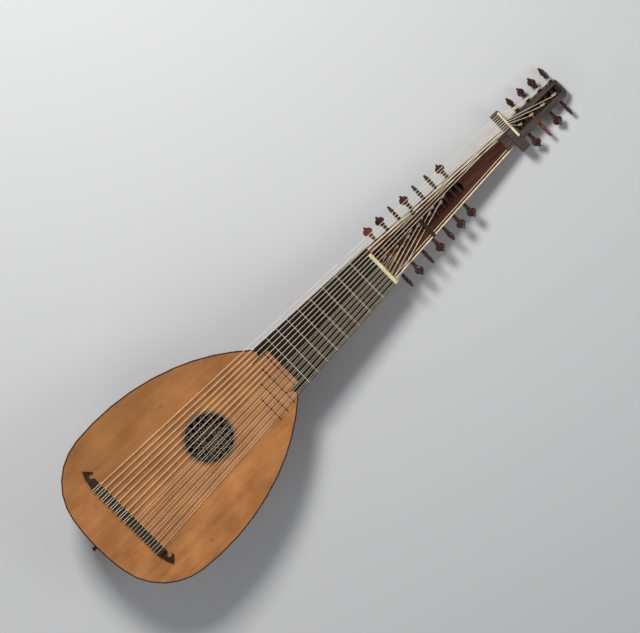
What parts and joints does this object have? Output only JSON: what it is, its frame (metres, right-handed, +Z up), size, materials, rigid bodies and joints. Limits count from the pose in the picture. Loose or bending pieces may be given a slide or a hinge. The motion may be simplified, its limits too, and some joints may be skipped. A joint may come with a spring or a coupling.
{
  "type": "lute",
  "caption": "Long-necked theorboed lute with ribbed bowl, pierced rose, tied frets, turning pegs in two pegboxes and gut strings, lying on its back.",
  "frame": {"origin": "centre of the bounding box on the surface that the lute lies on", "axes": "+Y along the neck towards the pegboxes, +Z up, +X to the treble side"},
  "size_m": [0.3658, 1.2884, 0.1778],
  "materials": {
    "rosewood_ribs": "gloss",
    "aged_spruce": "satin",
    "dark_edge": "satin",
    "bridge_wood": "satin",
    "ebony": "satin",
    "neck_veneer": "gloss",
    "aged_bone": "satin",
    "grey_brown_wood": "satin",
    "peg_wood": "gloss",
    "gut": "satin"
  },
  "bodies": {
    "root": {"bowl": "rosewood_ribs", "soundboard": "aged_spruce", "edge_binding": "dark_edge", "bridge": "bridge_wood", "body_fret_9": "ebony", "body_fret_10": "ebony", "body_fret_11": "ebony", "body_fret_12": "ebony", "neck": "neck_veneer", "fingerboard": "ebony", "main_nut": "aged_bone", "extension": "neck_veneer", "crossbar": "dark_edge", "upper_pegbox": "grey_brown_wood", "upper_nut": "aged_bone", "strap_button": "ebony", "course_1": "gut", "course_2": "gut", "course_3": "gut", "course_4": "gut", "course_5": "gut", "course_6": "gut", "bass_string_1": "gut", "bass_string_2": "gut", "bass_string_3": "gut", "bass_string_4": "gut", "bass_string_5": "gut", "bass_string_6": "gut", "bass_string_7": "gut", "bass_string_8": "gut"},
    "tied_fret_1": {"tied_fret_1": "gut"},
    "tied_fret_2": {"tied_fret_2": "gut"},
    "tied_fret_3": {"tied_fret_3": "gut"},
    "tied_fret_4": {"tied_fret_4": "gut"},
    "tied_fret_5": {"tied_fret_5": "gut"},
    "tied_fret_6": {"tied_fret_6": "gut"},
    "tied_fret_7": {"tied_fret_7": "gut"},
    "tied_fret_8": {"tied_fret_8": "gut"},
    "main_peg_right_1": {"main_peg_right_1": "peg_wood"},
    "main_peg_left_1": {"main_peg_left_1": "peg_wood"},
    "main_peg_right_2": {"main_peg_right_2": "peg_wood"},
    "main_peg_left_2": {"main_peg_left_2": "peg_wood"},
    "main_peg_right_3": {"main_peg_right_3": "peg_wood"},
    "main_peg_left_3": {"main_peg_left_3": "peg_wood"},
    "main_peg_right_4": {"main_peg_right_4": "peg_wood"},
    "main_peg_left_4": {"main_peg_left_4": "peg_wood"},
    "main_peg_right_5": {"main_peg_right_5": "peg_wood"},
    "main_peg_left_5": {"main_peg_left_5": "peg_wood"},
    "main_peg_right_6": {"main_peg_right_6": "peg_wood"},
    "main_peg_left_6": {"main_peg_left_6": "peg_wood"},
    "main_peg_right_7": {"main_peg_right_7": "peg_wood"},
    "main_peg_left_7": {"main_peg_left_7": "peg_wood"},
    "upper_peg_right_1": {"upper_peg_right_1": "peg_wood"},
    "upper_peg_left_1": {"upper_peg_left_1": "peg_wood"},
    "upper_peg_right_2": {"upper_peg_right_2": "peg_wood"},
    "upper_peg_left_2": {"upper_peg_left_2": "peg_wood"},
    "upper_peg_right_3": {"upper_peg_right_3": "peg_wood"},
    "upper_peg_left_3": {"upper_peg_left_3": "peg_wood"},
    "upper_peg_right_4": {"upper_peg_right_4": "peg_wood"},
    "upper_peg_left_4": {"upper_peg_left_4": "peg_wood"}
  },
  "joints": [
    {"name": "tied_fret_1_slide", "type": "slide", "parent": "root", "child": "tied_fret_1", "axis": [0, 0.9934, -0.1148], "range_m": [-0.003, 0.003]},
    {"name": "tied_fret_2_slide", "type": "slide", "parent": "root", "child": "tied_fret_2", "axis": [0, 0.9934, -0.1148], "range_m": [-0.003, 0.003]},
    {"name": "tied_fret_3_slide", "type": "slide", "parent": "root", "child": "tied_fret_3", "axis": [0, 0.9934, -0.1148], "range_m": [-0.003, 0.003]},
    {"name": "tied_fret_4_slide", "type": "slide", "parent": "root", "child": "tied_fret_4", "axis": [0, 0.9934, -0.1148], "range_m": [-0.003, 0.003]},
    {"name": "tied_fret_5_slide", "type": "slide", "parent": "root", "child": "tied_fret_5", "axis": [0, 0.9934, -0.1148], "range_m": [-0.003, 0.003]},
    {"name": "tied_fret_6_slide", "type": "slide", "parent": "root", "child": "tied_fret_6", "axis": [0, 0.9934, -0.1148], "range_m": [-0.003, 0.003]},
    {"name": "tied_fret_7_slide", "type": "slide", "parent": "root", "child": "tied_fret_7", "axis": [0, 0.9934, -0.1148], "range_m": [-0.003, 0.003]},
    {"name": "tied_fret_8_slide", "type": "slide", "parent": "root", "child": "tied_fret_8", "axis": [0, 0.9934, -0.1148], "range_m": [-0.003, 0.003]},
    {"name": "main_peg_right_1_turn", "type": "hinge", "parent": "root", "child": "main_peg_right_1", "pos_m": [0.03372, 0.16352, 0.06905], "axis": [1, 0, 0], "continuous": true},
    {"name": "main_peg_left_1_turn", "type": "hinge", "parent": "root", "child": "main_peg_left_1", "pos_m": [-0.04616, 0.17345, 0.0679], "axis": [1, 0, 0], "continuous": true},
    {"name": "main_peg_right_2_turn", "type": "hinge", "parent": "root", "child": "main_peg_right_2", "pos_m": [0.03166, 0.19392, 0.06554], "axis": [1, 0, 0], "continuous": true},
    {"name": "main_peg_left_2_turn", "type": "hinge", "parent": "root", "child": "main_peg_left_2", "pos_m": [-0.04432, 0.20445, 0.06432], "axis": [1, 0, 0], "continuous": true},
    {"name": "main_peg_right_3_turn", "type": "hinge", "parent": "root", "child": "main_peg_right_3", "pos_m": [0.0296, 0.22432, 0.06203], "axis": [1, 0, 0], "continuous": true},
    {"name": "main_peg_left_3_turn", "type": "hinge", "parent": "root", "child": "main_peg_left_3", "pos_m": [-0.04248, 0.23544, 0.06074], "axis": [1, 0, 0], "continuous": true},
    {"name": "main_peg_right_4_turn", "type": "hinge", "parent": "root", "child": "main_peg_right_4", "pos_m": [0.02754, 0.25471, 0.05851], "axis": [1, 0, 0], "continuous": true},
    {"name": "main_peg_left_4_turn", "type": "hinge", "parent": "root", "child": "main_peg_left_4", "pos_m": [-0.04065, 0.26644, 0.05716], "axis": [1, 0, 0], "continuous": true},
    {"name": "main_peg_right_5_turn", "type": "hinge", "parent": "root", "child": "main_peg_right_5", "pos_m": [0.02548, 0.28511, 0.055], "axis": [1, 0, 0], "continuous": true},
    {"name": "main_peg_left_5_turn", "type": "hinge", "parent": "root", "child": "main_peg_left_5", "pos_m": [-0.03881, 0.29743, 0.05358], "axis": [1, 0, 0], "continuous": true},
    {"name": "main_peg_right_6_turn", "type": "hinge", "parent": "root", "child": "main_peg_right_6", "pos_m": [0.02341, 0.31551, 0.05149], "axis": [1, 0, 0], "continuous": true},
    {"name": "main_peg_left_6_turn", "type": "hinge", "parent": "root", "child": "main_peg_left_6", "pos_m": [-0.03697, 0.32842, 0.05], "axis": [1, 0, 0], "continuous": true},
    {"name": "main_peg_right_7_turn", "type": "hinge", "parent": "root", "child": "main_peg_right_7", "pos_m": [0.02135, 0.34591, 0.04798], "axis": [1, 0, 0], "continuous": true},
    {"name": "main_peg_left_7_turn", "type": "hinge", "parent": "root", "child": "main_peg_left_7", "pos_m": [-0.03513, 0.35942, 0.04642], "axis": [1, 0, 0], "continuous": true},
    {"name": "upper_peg_right_1_turn", "type": "hinge", "parent": "root", "child": "upper_peg_right_1", "pos_m": [0.01173, 0.53293, 0.02868], "axis": [1, 0, 0], "continuous": true},
    {"name": "upper_peg_left_1_turn", "type": "hinge", "parent": "root", "child": "upper_peg_left_1", "pos_m": [-0.03269, 0.54823, 0.02691], "axis": [1, 0, 0], "continuous": true},
    {"name": "upper_peg_right_2_turn", "type": "hinge", "parent": "root", "child": "upper_peg_right_2", "pos_m": [0.01114, 0.56233, 0.02528], "axis": [1, 0, 0], "continuous": true},
    {"name": "upper_peg_left_2_turn", "type": "hinge", "parent": "root", "child": "upper_peg_left_2", "pos_m": [-0.03188, 0.57684, 0.02361], "axis": [1, 0, 0], "continuous": true},
    {"name": "upper_peg_right_3_turn", "type": "hinge", "parent": "root", "child": "upper_peg_right_3", "pos_m": [0.01054, 0.59174, 0.02189], "axis": [1, 0, 0], "continuous": true},
    {"name": "upper_peg_left_3_turn", "type": "hinge", "parent": "root", "child": "upper_peg_left_3", "pos_m": [-0.03107, 0.60545, 0.0203], "axis": [1, 0, 0], "continuous": true},
    {"name": "upper_peg_right_4_turn", "type": "hinge", "parent": "root", "child": "upper_peg_right_4", "pos_m": [0.00995, 0.62114, 0.01849], "axis": [1, 0, 0], "continuous": true},
    {"name": "upper_peg_left_4_turn", "type": "hinge", "parent": "root", "child": "upper_peg_left_4", "pos_m": [-0.03027, 0.63406, 0.017], "axis": [1, 0, 0], "continuous": true}
  ]
}
